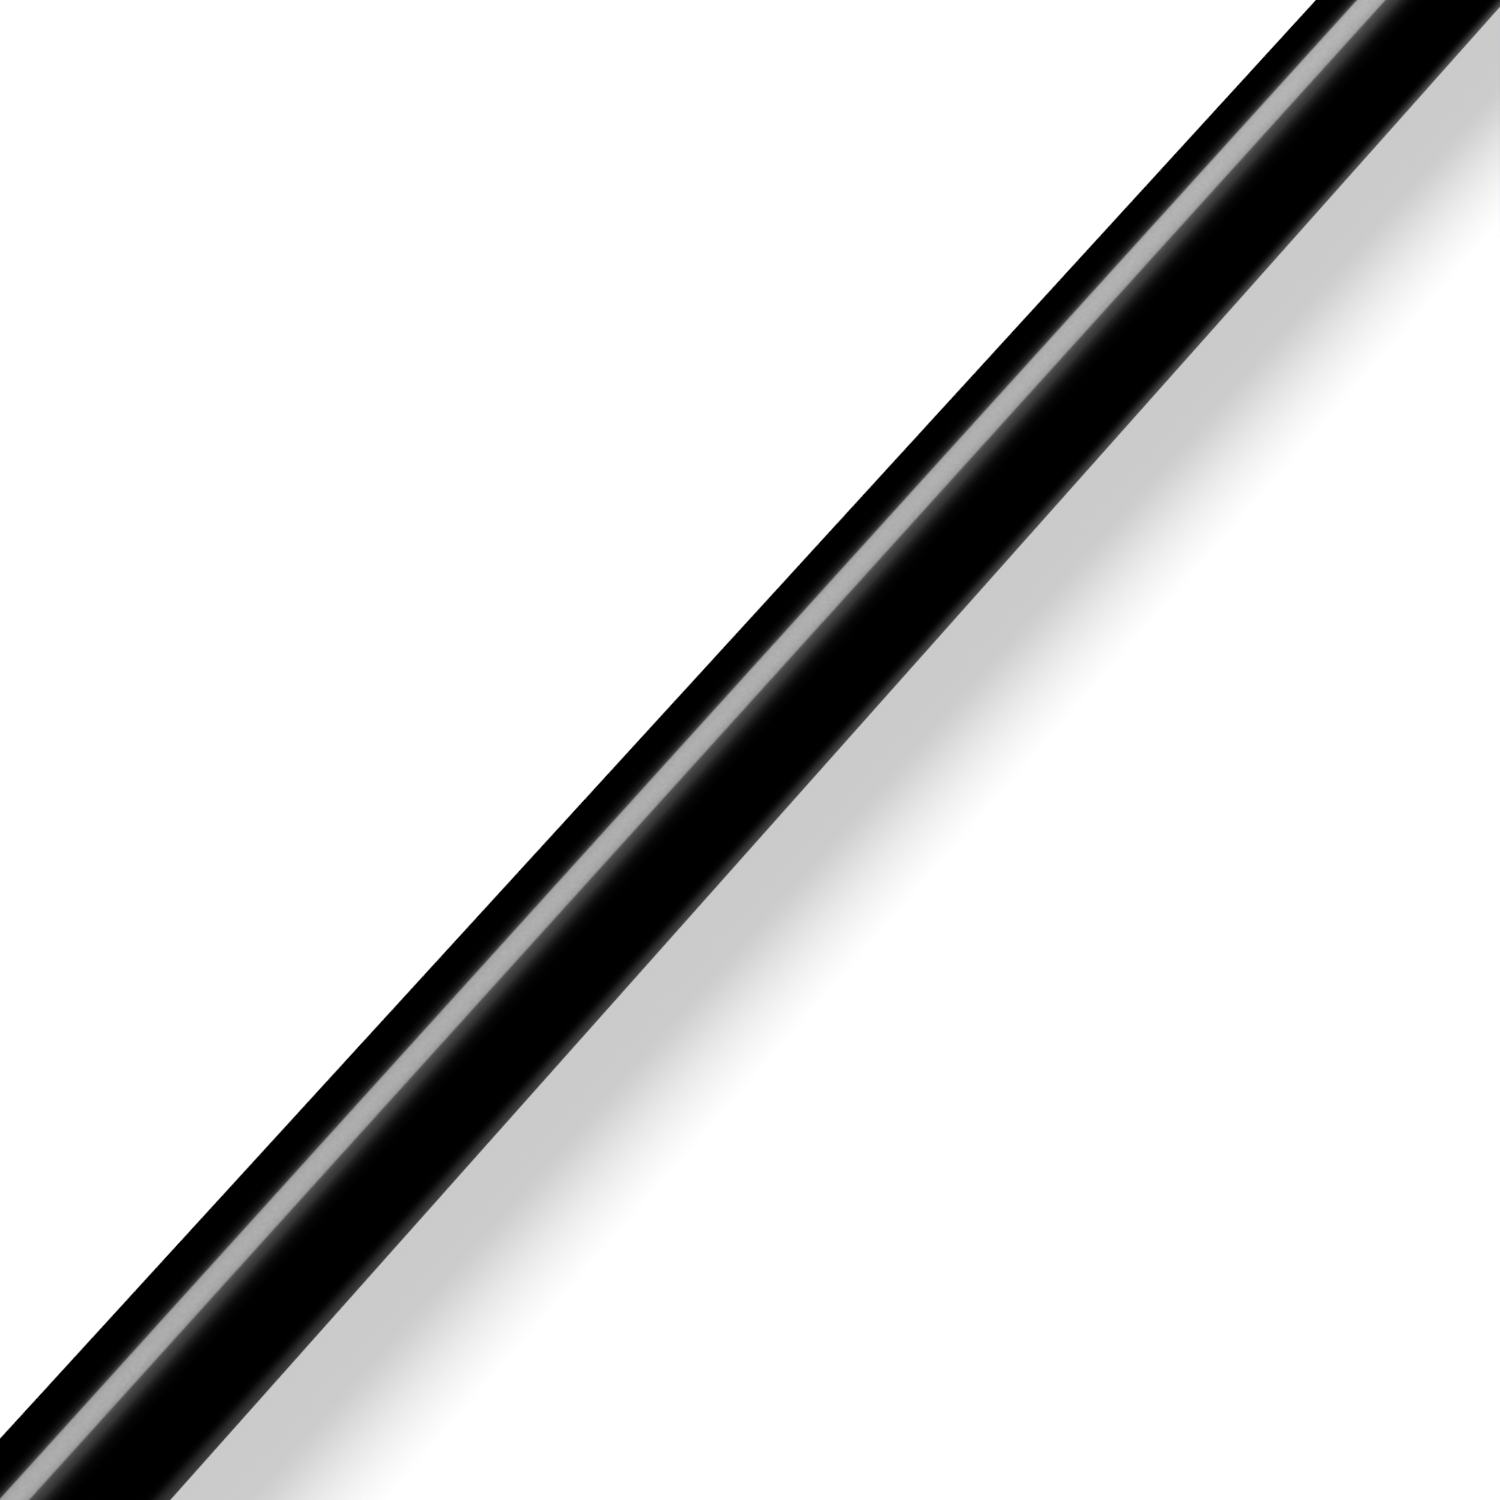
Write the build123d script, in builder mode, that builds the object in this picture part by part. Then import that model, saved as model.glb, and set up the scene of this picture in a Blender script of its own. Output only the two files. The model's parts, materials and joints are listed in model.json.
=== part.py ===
from build123d import *

import math
import os

# Telescoping long cane for a blind person: five tapered tubes that slide into each other, a rubber
# grip, and a roller on ball bearings at the tip. Sizes are in millimetres.
#
# The cane is extended, and lies on the floor on the flat of its grip and on its roller. +X runs along
# the cane from the grip to the tip, +Z is up and the floor is Z = 0. The origin is on the floor, under
# the middle of the cane's length. A "place" is a distance along the cane from the outer end of its cap,
# and the points of a turned outline are (place, distance from the cane's axis).

# Driving sizes
tube_count = 5
grip_tube_length = 270.0  # the widest tube, which carries the grip
tip_tube_diameter = 8.0  # outside, at the narrow end of the last tube
tube_wall = 0.7
taper = 0.003  # diameter lost for each millimetre of a tube's length
engagement = 45.0  # length of a tube that stays in the wider one when the cane is extended
roller_radius = 13.0
roller_length = 34.0
grip_length = 205.0

# Clearances
seat_clearance = 0.04  # radial, between two tubes where they wedge together
bond_gap = 0.02  # glue line, or the line of a press fit
stop_gap = 0.3  # between the collapsed tubes and the bumper

# Rings that reinforce the mouths of the tubes
ring_back = 7.8  # length of the ring on its tube
ring_lip = 1.2  # length of the lip in front of the tube's end
ring_thickness = 0.8
ring_chamfer = 0.3
ring_spacing = 2.0  # between neighbouring rings when the cane is collapsed

# Cap in the end of the grip, and the bumper behind it
cap_flange = 5.0
cap_rounding = 3.0
spigot_length = 15.0
spigot_wall = 2.5
cord_hole_radius = 2.5
bumper_thickness = 4.0
bumper_clearance = 0.3

# Grip
grip_flat_depth = 1.2  # what the flat side takes off the grip's radius
nose_wall = 2.8  # rubber over the tube at the grip's lower end
nose_length = 18.0
waist_length = 85.0  # the stretch over which the grip narrows
waist_blend = 600.0
nose_rounding = 2.0

# Sleeve that holds the tip on the last tube
socket_depth = 22.0
sleeve_wall = 1.6
sleeve_rounding = 1.0
sleeve_shoulder = 3.0  # length of the sleeve's flare behind the end of its socket
sleeve_web = 10.0
sleeve_front_radius = 7.4
rib_count = 4
rib_height = 0.5
rib_width = 1.8
rib_pitch = 3.8
first_rib = 3.0  # from the sleeve's edge

# Ball bearings, two alike
bearing_bore_radius = 3.0
bearing_outer_radius = 6.5
race_thickness = 1.0
race_chamfer = 0.2
groove_depth = 0.44
groove_clearance = 0.03
ball_spacing = 1.2  # least gap between two balls
cage_thickness = 0.8
cage_back = 0.45  # of the cage behind the balls
cage_front = 0.4  # of the cage's prongs in front of the balls' centres
cage_clearance = 0.06
shield_thickness = 0.25
shield_inset = 0.15
shield_clearance = 0.12
cage_room = 0.46  # between a cage and a shield

# Spindle and what holds it
head_step = 0.2  # the head's radius is this much less than the last tube's
head_inset = 1.0  # from the end of the last tube to the head
head_thickness = 2.5
spindle_clearance = 0.01
spindle_chamfer = 0.5
spindle_end = 1.6  # of the spindle in front of its clip
spacer_wall = 0.8
washer_thickness = 0.4
clip_thickness = 0.7
clip_width = 1.9  # across the clip's ring
clip_groove_depth = 0.6
clip_opening = 4.0

# Roller
roller_gap = 1.2  # between the sleeve and the roller
roller_top_rounding = 5.0
roller_foot_rounding = 9.0
web_length = 11.0  # of the roller between its bearings
web_step = 1.2  # the web's bore is this much less in radius than the bearings' seats
seal_thickness = 1.8
seal_clearance = 0.15
plug_depth = 7.0
plug_wall = 2.0

# Lengths of the tubes. The cap, the bumper and a gap fill the start of the widest tube. When the cane
# is collapsed, every other tube starts there, and stands out past the wider one by the length of its
# ring or of the tip's socket.
stagger = ring_back + ring_lip + ring_spacing
spigot_end = cap_flange + spigot_length
stack_start = spigot_end + bumper_thickness + stop_gap
tube_length = [grip_tube_length]
tube_length.append(cap_flange + grip_tube_length + stagger - stack_start)
while len(tube_length) < tube_count:
    tube_length.append(tube_length[-1] + stagger)
tube_length[-1] += socket_depth - ring_back

# Places of the tubes' wide ends (butts) and narrow ends (mouths) when the cane is extended
butt = [cap_flange]
for index in range(1, tube_count):
    butt.append(butt[-1] + tube_length[index - 1] - engagement)
mouth = [start + length for start, length in zip(butt, tube_length)]

# Outside radius of each tube's butt, worked out from the tip upwards: a tube's mouth seats the
# stretch of the narrower tube that stays inside it
butt_radius = [(tip_tube_diameter + taper * tube_length[-1]) / 2]
for length in reversed(tube_length[:-1]):
    mouth_bore = butt_radius[0] - taper * engagement / 2 + seat_clearance
    butt_radius.insert(0, mouth_bore + tube_wall + taper * length / 2)

# The bearings' inside
ball_radius = (bearing_outer_radius - bearing_bore_radius) / 2 - race_thickness + groove_depth
pitch_radius = (bearing_outer_radius + bearing_bore_radius) / 2
ball_count = int(2 * math.pi * pitch_radius / (2 * ball_radius + ball_spacing))
bearing_width = 2 * (ball_radius + cage_back + cage_room + shield_thickness + shield_inset)
inner_race_radius = bearing_bore_radius + race_thickness
outer_race_bore = bearing_outer_radius - race_thickness

# Places along the tip
sleeve_start = mouth[-1] - socket_depth
sleeve_front = mouth[-1] + sleeve_web
head_start = mouth[-1] + head_inset
roller_start = sleeve_front + roller_gap
upper_bearing_start = roller_start + seal_thickness
web_start = upper_bearing_start + bearing_width
lower_bearing_start = web_start + web_length
washer_start = lower_bearing_start + bearing_width
clip_start = washer_start + washer_thickness
spindle_front = clip_start + clip_thickness + spindle_end
overall_length = roller_start + roller_length
plug_start = overall_length - plug_depth

# The cane's axis is as high over the floor as its roller is wide
axis_height = roller_radius
grip_radius = axis_height + grip_flat_depth
grip_end = cap_flange + grip_length
cane_axis = Axis((0, 0, axis_height), (1, 0, 0))
outline_plane = Plane(origin=(-overall_length / 2, 0, axis_height), x_dir=(1, 0, 0), z_dir=(0, -1, 0))


def outer_radius(tube, place):
    """Outside radius of a tube, by its index, at a place along the extended cane."""
    return butt_radius[tube] - taper * (place - butt[tube]) / 2


def inner_radius(tube, place):
    """Inside radius of a tube, by its index, at a place along the extended cane."""
    return outer_radius(tube, place) - tube_wall


def cross_plane(place):
    """The plane across the cane at a place, facing the tip."""
    origin = (place - overall_length / 2, 0, axis_height)
    return Plane(origin=origin, x_dir=(0, 1, 0), z_dir=(1, 0, 0))


def turn(*points, mode=Mode.ADD):
    """Turns a closed outline of straight lines about the cane's axis."""
    with BuildSketch(outline_plane) as outline:
        with BuildLine():
            Polyline(*points, close=True)
        make_face()
    revolve(outline.sketch, axis=cane_axis, mode=mode)


def turn_rounded(points, roundings):
    """Turns an outline from axis to axis, with a rounding for each corner between its two ends."""
    with BuildSketch(outline_plane) as outline:
        with BuildLine():
            FilletPolyline(*points, radius=roundings)
            Line(points[-1], points[0])
        make_face()
    revolve(outline.sketch, axis=cane_axis)


def turn_ring(start, end, inside, outside, mode=Mode.ADD):
    """Turns a plain ring, or a disc where inside is 0."""
    turn((start, inside), (start, outside), (end, outside), (end, inside), mode=mode)


def turn_roller():
    """Turns the solid form of the roller, which its shell and its plug share."""
    turn_rounded(
        [
            (roller_start, 0),
            (roller_start, roller_radius),
            (overall_length, roller_radius),
            (overall_length, 0),
        ],
        [roller_top_rounding, roller_foot_rounding],
    )


def cut_ball_groove(centre):
    """Cuts the groove that the balls run in."""
    with BuildSketch(outline_plane) as groove:
        with Locations((centre, pitch_radius)):
            Circle(ball_radius + groove_clearance)
    revolve(groove.sketch, axis=cane_axis, mode=Mode.SUBTRACT)


def save(builder, name):
    """Labels a finished piece and writes its file."""
    builder.part.label = name
    export_step(builder.part, f"parts/{name}.step")


os.makedirs("parts", exist_ok=True)

# End cap: a flange over the end of the grip, with a hole for a wrist cord, and a hollow spigot in the
# tube, which has room for the cord's knot
with BuildPart() as end_cap:
    turn_rounded([(0, 0), (0, grip_radius), (cap_flange, grip_radius), (cap_flange, 0)], [cap_rounding, 0])
    turn(
        (cap_flange, 0),
        (cap_flange, inner_radius(0, cap_flange) - bond_gap),
        (spigot_end, inner_radius(0, spigot_end) - bond_gap),
        (spigot_end, 0),
    )
    turn_ring(cap_flange, spigot_end, 0, inner_radius(0, spigot_end) - spigot_wall, mode=Mode.SUBTRACT)
    turn_ring(0, cap_flange, 0, cord_hole_radius, mode=Mode.SUBTRACT)
    split(bisect_by=Plane.XY, keep=Keep.TOP)
save(end_cap, "end_cap")

# Bumper: the soft disc that stops the tubes when the cane is collapsed
bumper_end = spigot_end + bumper_thickness
with BuildPart() as bumper:
    turn_ring(spigot_end, bumper_end, 0, inner_radius(0, bumper_end) - bumper_clearance)
save(bumper, "bumper")

# Grip: a rubber sleeve, round with one flat side, that narrows to its nose
nose_start = grip_end - nose_length
nose_radius = outer_radius(0, grip_end) + nose_wall
with BuildPart() as grip:
    turn_rounded(
        [
            (cap_flange, 0),
            (cap_flange, grip_radius),
            (nose_start - waist_length, grip_radius),
            (nose_start, nose_radius),
            (grip_end, nose_radius),
            (grip_end, 0),
        ],
        [0, waist_blend, waist_blend, nose_rounding],
    )
    turn(
        (cap_flange, 0),
        (cap_flange, outer_radius(0, cap_flange) + bond_gap),
        (grip_end, outer_radius(0, grip_end) + bond_gap),
        (grip_end, 0),
        mode=Mode.SUBTRACT,
    )
    split(bisect_by=Plane.XY, keep=Keep.TOP)
save(grip, "grip")

# Tubes, from the widest to the one at the tip
for index in range(tube_count):
    with BuildPart() as tube:
        turn(
            (butt[index], inner_radius(index, butt[index])),
            (butt[index], outer_radius(index, butt[index])),
            (mouth[index], outer_radius(index, mouth[index])),
            (mouth[index], inner_radius(index, mouth[index])),
        )
    save(tube, f"tube_{index + 1}")

# Mouth rings: each is glued round the mouth of a tube, with a lip over the tube's end
for index in range(tube_count - 1):
    ring_start = mouth[index] - ring_back
    ring_end = mouth[index] + ring_lip
    ring_bore = outer_radius(index, ring_start) + bond_gap
    ring_radius = ring_bore + ring_thickness
    with BuildPart() as mouth_ring:
        turn(
            (ring_start, ring_bore),
            (ring_start, ring_radius - ring_chamfer),
            (ring_start + ring_chamfer, ring_radius),
            (ring_end - ring_chamfer, ring_radius),
            (ring_end, ring_radius - ring_chamfer),
            (ring_end, inner_radius(index, mouth[index]) + bond_gap),
            (mouth[index], inner_radius(index, mouth[index]) + bond_gap),
            (mouth[index], ring_bore),
        )
    save(mouth_ring, f"mouth_ring_{index + 1}")

# Tip sleeve: a ribbed socket for the last tube, a web that the spindle goes through, and a boss that
# the upper bearing's inner race sits on
socket_end_radius = outer_radius(-1, mouth[-1]) + bond_gap
sleeve_radius = outer_radius(-1, sleeve_start) + bond_gap + sleeve_wall
spindle_radius = bearing_bore_radius - spindle_clearance
head_radius = outer_radius(-1, mouth[-1]) - head_step
head_end = head_start + head_thickness
with BuildPart() as tip_sleeve:
    turn_rounded(
        [
            (sleeve_start, 0),
            (sleeve_start, sleeve_radius),
            (mouth[-1] - sleeve_shoulder, sleeve_radius),
            (sleeve_front, sleeve_front_radius),
            (sleeve_front, 0),
        ],
        [sleeve_rounding, sleeve_shoulder, sleeve_rounding],
    )
    turn_ring(sleeve_front, upper_bearing_start, 0, inner_race_radius)
    for rib in range(rib_count):
        rib_start = sleeve_start + first_rib + rib * rib_pitch
        turn(
            (rib_start, sleeve_radius - rib_height),
            (rib_start, sleeve_radius),
            (rib_start + rib_height, sleeve_radius + rib_height),
            (rib_start + rib_width - rib_height, sleeve_radius + rib_height),
            (rib_start + rib_width, sleeve_radius),
            (rib_start + rib_width, sleeve_radius - rib_height),
        )
    turn(
        (sleeve_start, 0),
        (sleeve_start, outer_radius(-1, sleeve_start) + bond_gap),
        (mouth[-1], socket_end_radius),
        (mouth[-1], 0),
        mode=Mode.SUBTRACT,
    )
    turn_ring(mouth[-1], head_end, 0, head_radius + bond_gap, mode=Mode.SUBTRACT)
    turn_ring(head_end, upper_bearing_start, 0, bearing_bore_radius, mode=Mode.SUBTRACT)
save(tip_sleeve, "tip_sleeve")

# Spindle: a headed pin through the sleeve and both bearings, with a groove for its clip
with BuildPart() as spindle:
    turn_ring(head_start, head_end, 0, head_radius)
    turn(
        (head_end, 0),
        (head_end, spindle_radius),
        (spindle_front - spindle_chamfer, spindle_radius),
        (spindle_front, spindle_radius - spindle_chamfer),
        (spindle_front, 0),
    )
    turn_ring(
        clip_start,
        clip_start + clip_thickness,
        spindle_radius - clip_groove_depth,
        bearing_bore_radius,
        mode=Mode.SUBTRACT,
    )
save(spindle, "spindle")

# Two ball bearings, each of two races, a cage, a set of balls and a pair of shields
for side, start in (("upper", upper_bearing_start), ("lower", lower_bearing_start)):
    centre = start + bearing_width / 2
    end = start + bearing_width

    with BuildPart() as inner_race:
        turn(
            (start, bearing_bore_radius + race_chamfer),
            (start, inner_race_radius),
            (end, inner_race_radius),
            (end, bearing_bore_radius + race_chamfer),
            (end - race_chamfer, bearing_bore_radius),
            (start + race_chamfer, bearing_bore_radius),
        )
        cut_ball_groove(centre)
    save(inner_race, f"{side}_bearing_inner_race")

    with BuildPart() as outer_race:
        turn(
            (start, outer_race_bore),
            (start, bearing_outer_radius - race_chamfer),
            (start + race_chamfer, bearing_outer_radius),
            (end - race_chamfer, bearing_outer_radius),
            (end, bearing_outer_radius - race_chamfer),
            (end, outer_race_bore),
        )
        cut_ball_groove(centre)
    save(outer_race, f"{side}_bearing_outer_race")

    with BuildPart(cross_plane(centre)) as balls:
        with PolarLocations(pitch_radius, ball_count):
            Sphere(ball_radius)
    save(balls, f"{side}_bearing_balls")

    with BuildPart(cross_plane(centre)) as cage:
        turn_ring(
            centre - ball_radius - cage_back,
            centre + cage_front,
            pitch_radius - cage_thickness / 2,
            pitch_radius + cage_thickness / 2,
        )
        with PolarLocations(pitch_radius, ball_count):
            Sphere(ball_radius + cage_clearance, mode=Mode.SUBTRACT)
    save(cage, f"{side}_bearing_cage")

    with BuildPart() as shields:
        for shield_start in (start + shield_inset, end - shield_inset - shield_thickness):
            turn_ring(
                shield_start,
                shield_start + shield_thickness,
                inner_race_radius + shield_clearance,
                outer_race_bore - bond_gap,
            )
    save(shields, f"{side}_bearing_shields")

# Spacer between the inner races, and the washer between the lower one and the clip
with BuildPart() as bearing_spacer:
    turn_ring(web_start, lower_bearing_start, bearing_bore_radius, bearing_bore_radius + spacer_wall)
save(bearing_spacer, "bearing_spacer")

with BuildPart() as thrust_washer:
    turn_ring(washer_start, clip_start, bearing_bore_radius, bearing_bore_radius + spacer_wall)
save(thrust_washer, "thrust_washer")

# Retaining clip: a flat open ring in the spindle's groove
clip_bore_radius = spindle_radius - clip_groove_depth
with BuildPart() as retaining_clip:
    with BuildSketch(cross_plane(clip_start)):
        Circle(clip_bore_radius + clip_width)
        Circle(clip_bore_radius, mode=Mode.SUBTRACT)
        with Locations((0, clip_bore_radius + clip_width)):
            Rectangle(clip_opening, 2 * (clip_bore_radius + clip_width), mode=Mode.SUBTRACT)
    extrude(amount=clip_thickness)
save(retaining_clip, "retaining_clip")

# Roller: a shell with a seat for each bearing and a narrower bore between them
seat_radius = bearing_outer_radius + bond_gap
with BuildPart() as roller:
    turn_roller()
    turn_ring(roller_start, web_start, 0, seat_radius, mode=Mode.SUBTRACT)
    turn_ring(web_start, lower_bearing_start, 0, seat_radius - web_step, mode=Mode.SUBTRACT)
    turn_ring(lower_bearing_start, overall_length, 0, seat_radius, mode=Mode.SUBTRACT)
save(roller, "roller")

# Plug: the crown of the roller's end, pressed into the lower seat's bore
with BuildPart() as roller_plug:
    turn_roller()
    turn_ring(plug_start, overall_length, 0, bearing_outer_radius, mode=Mode.INTERSECT)
    turn_ring(
        plug_start,
        overall_length - 2 * plug_wall,
        0,
        bearing_outer_radius - plug_wall,
        mode=Mode.SUBTRACT,
    )
save(roller_plug, "roller_plug")

# Seal: the ring that keeps dirt out of the upper bearing, pressed into the roller
with BuildPart() as roller_seal:
    turn_ring(roller_start, upper_bearing_start, inner_race_radius + seal_clearance, bearing_outer_radius)
save(roller_seal, "roller_seal")

# What the record states: the travel of each sliding tube, and the speed of the balls' orbit
travel = [butt[1] - stack_start]
for index in range(2, tube_count):
    travel.append(butt[index] - butt[index - 1])
print("overall length", round(overall_length, 2), "collapsed", round(overall_length - sum(travel), 2))
print("tube lengths", [round(length, 2) for length in tube_length])
print("butt diameters", [round(2 * radius, 3) for radius in butt_radius])
print("travel", [round(way, 2) for way in travel])
print("ball orbit ratio", round((1 + ball_radius / pitch_radius) / 2, 5))
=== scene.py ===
import json
import math

import bmesh
import bpy
from mathutils import Matrix, Vector

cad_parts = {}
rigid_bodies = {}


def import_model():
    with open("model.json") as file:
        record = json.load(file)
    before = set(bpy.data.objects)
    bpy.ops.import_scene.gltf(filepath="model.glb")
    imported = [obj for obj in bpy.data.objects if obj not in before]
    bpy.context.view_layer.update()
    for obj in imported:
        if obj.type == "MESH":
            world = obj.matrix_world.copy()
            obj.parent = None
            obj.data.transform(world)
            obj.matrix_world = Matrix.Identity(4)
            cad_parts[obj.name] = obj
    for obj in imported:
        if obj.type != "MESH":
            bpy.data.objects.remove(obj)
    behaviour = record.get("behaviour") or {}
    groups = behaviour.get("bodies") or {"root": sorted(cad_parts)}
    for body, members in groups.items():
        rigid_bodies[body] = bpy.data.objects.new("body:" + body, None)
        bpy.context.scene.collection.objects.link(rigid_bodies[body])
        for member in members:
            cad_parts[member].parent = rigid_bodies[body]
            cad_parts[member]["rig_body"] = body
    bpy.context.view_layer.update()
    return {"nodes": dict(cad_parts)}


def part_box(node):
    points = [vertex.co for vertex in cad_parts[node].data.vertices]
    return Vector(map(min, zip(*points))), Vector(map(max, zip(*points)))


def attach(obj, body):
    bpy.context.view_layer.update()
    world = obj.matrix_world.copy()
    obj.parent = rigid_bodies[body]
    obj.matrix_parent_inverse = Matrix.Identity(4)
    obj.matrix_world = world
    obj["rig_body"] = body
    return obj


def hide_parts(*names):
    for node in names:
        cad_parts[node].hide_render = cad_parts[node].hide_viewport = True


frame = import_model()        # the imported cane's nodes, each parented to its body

# ---------------------------------------------------------------------------------------------------
# Tubes. Five tapered tubes of wound carbon composite, ground true, sprayed with black lacquer and
# polished to a hard gloss. Their bores and cut ends stay raw. Each slides into the next wider one, so
# only the stretch at its wide end, which wedges in that one's mouth, is scuffed.
# ---------------------------------------------------------------------------------------------------
# A place is a distance along the cane from its cap end. Places and sizes are in millimetres.
cap_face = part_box("end_cap")[0].x
axis_height = (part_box("tube_1")[0].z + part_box("tube_1")[1].z) / 2


def span(node):
    """The places where a node of the frame starts and ends."""
    start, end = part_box(node)
    return 1000 * (start.x - cap_face), 1000 * (end.x - cap_face)


def reach(node, place, pick):
    """The least (min) or greatest (max) distance from the cane's axis of a node's points at a place."""
    same_place = 0.01
    points = [vertex.co for vertex in frame["nodes"][node].data.vertices]
    there = [point for point in points if abs(1000 * (point.x - cap_face) - place) < same_place]
    return 1000 * pick(math.hypot(point.y, point.z - axis_height) for point in there)


def soften(corners):
    """Rounds the corners of an outline. A corner is (place, distance from the axis, cut), where the cut
    is how much of both edges its rounding takes. The points made are (place, distance, wear): the wear
    is 1 in the middle of a rounding that stands proud, where handling rubs a piece, and 0 elsewhere. On
    a long edge a further point beside the rounding keeps the rest of the edge flat."""
    beside = 1.25  # where that point is, in cuts from the corner
    fewest_steps = 4
    steps_for_each_millimetre = 3
    outline = []
    following = corners[1:] + corners[:1]
    area = sum(one[0] * two[1] - two[0] * one[1] for one, two in zip(corners, following))
    for index, (place, distance, cut) in enumerate(corners):
        corner = Vector((place, distance))
        if cut == 0:
            outline.append((place, distance, 0))
            continue
        back = Vector(corners[index - 1][:2]) - corner
        on = Vector(following[index][:2]) - corner
        proud = back.cross(on) * area < 0
        start = corner + back.normalized() * cut
        end = corner + on.normalized() * cut
        bend = math.cos((math.pi - back.angle(on)) / 2)
        if beside * cut < back.length / 2:
            outline.append((*(corner + back.normalized() * cut * beside), 0))
        steps = fewest_steps + round(steps_for_each_millimetre * cut)
        for step in range(steps + 1):
            share = step / steps
            pulls = (1 - share) ** 2, 2 * bend * share * (1 - share), share**2
            point = (start * pulls[0] + corner * pulls[1] + end * pulls[2]) / sum(pulls)
            outline.append((*point, 4 * share * (1 - share) * proud))
        if beside * cut < on.length / 2:
            outline.append((*(corner + on.normalized() * cut * beside), 0))
    return outline


def turned(name, outline, sides=128, shape=None, crease=32):
    """Turns an outline about the cane's axis. The outline closes on itself, or starts and ends on the
    axis. A shape changes a point's distance from the axis, given its place, distance and angle. Edges
    sharper than the crease angle stay sharp."""
    points, wears, rows = [], [], []
    for place, distance, wear in outline:
        row = []
        for side in range(sides if distance > 0 else 1):
            angle = math.tau * side / sides
            out = shape(place, distance, angle) if shape else distance
            across = out * math.sin(angle) / 1000
            upward = out * math.cos(angle) / 1000
            row.append(len(points))
            points.append((cap_face + place / 1000, across, axis_height + upward))
            wears.append(wear)
        rows.append(row)
    if outline[0][1] > 0:
        rows.append(rows[0])
    faces = []
    for near, far in zip(rows, rows[1:]):
        for side in range(sides):
            after = (side + 1) % sides
            corners = [near[side % len(near)], near[after % len(near)]]
            corners += [far[after % len(far)], far[side % len(far)]]
            faces.append(list(dict.fromkeys(corners)))
    mesh = bpy.data.meshes.new(name)
    mesh.from_pydata(points, [], faces)
    shell = bmesh.new()
    shell.from_mesh(mesh)
    bmesh.ops.recalc_face_normals(shell, faces=shell.faces)
    shell.to_mesh(mesh)
    shell.free()
    mesh.shade_smooth()
    mesh.set_sharp_from_angle(angle=math.radians(crease))
    mesh.attributes.new("wear", "FLOAT", "POINT").data.foreach_set("value", wears)
    piece = bpy.data.objects.new(name, mesh)
    bpy.context.scene.collection.objects.link(piece)
    return piece


class Value:
    """An output of a shader node. Arithmetic with it adds Math nodes."""

    def __init__(self, graph, output):
        self.graph = graph
        self.output = output

    def maths(self, operation, first, second=0.0):
        return self.graph.node("Math", {"operation": operation}, {0: first, 1: second})

    def __add__(self, other):
        return self.maths("ADD", self, other)

    def __sub__(self, other):
        return self.maths("SUBTRACT", self, other)

    def __rsub__(self, other):
        return self.maths("SUBTRACT", other, self)

    def __mul__(self, other):
        return self.maths("MULTIPLY", self, other)

    def __pow__(self, other):
        return self.maths("POWER", self, other)

    __radd__ = __add__
    __rmul__ = __mul__

    def size(self):
        return self.maths("ABSOLUTE", self)

    def fraction(self):
        return self.maths("FRACT", self)

    def larger(self, other):
        return self.maths("MAXIMUM", self, other)

    def angle_from(self, other):
        return self.maths("ARCTAN2", self, other)

    def fade(self, start, end):
        """0 where the value is at start or short of it, 1 at end or past it, and smooth between."""
        values = {"Value": self, "From Min": start, "From Max": end}
        return self.graph.node("MapRange", {"interpolation_type": "SMOOTHSTEP"}, values)

    def parts(self):
        """The X, Y and Z of a vector."""
        first = self.graph.node("SeparateXYZ", {}, {0: self})
        return [Value(self.graph, output) for output in first.output.node.outputs]


class Graph:
    """The shader nodes of a material or of the world."""

    def __init__(self, owner):
        owner.use_nodes = True
        self.owner = owner
        self.tree = owner.node_tree

    def node(self, kind, settings, values, output=0):
        """Adds a node: its settings, then its sockets' values or links. Gives one of its outputs."""
        made = self.tree.nodes.new("ShaderNode" + kind)
        for setting, value in settings.items():
            if setting == "stops":
                stops = made.color_ramp.elements
                for _ in value[2:]:
                    stops.new(1.0)
                for stop, (position, shade) in zip(stops, value):
                    stop.position = position
                    stop.color = (shade, shade, shade, 1)
            else:
                setattr(made, setting, value)
        self.feed(made, values)
        return Value(self, made.outputs[output])

    def feed(self, node, values):
        for socket, value in values.items():
            if isinstance(value, Value):
                self.tree.links.new(value.output, node.inputs[socket])
            else:
                node.inputs[socket].default_value = value


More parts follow.
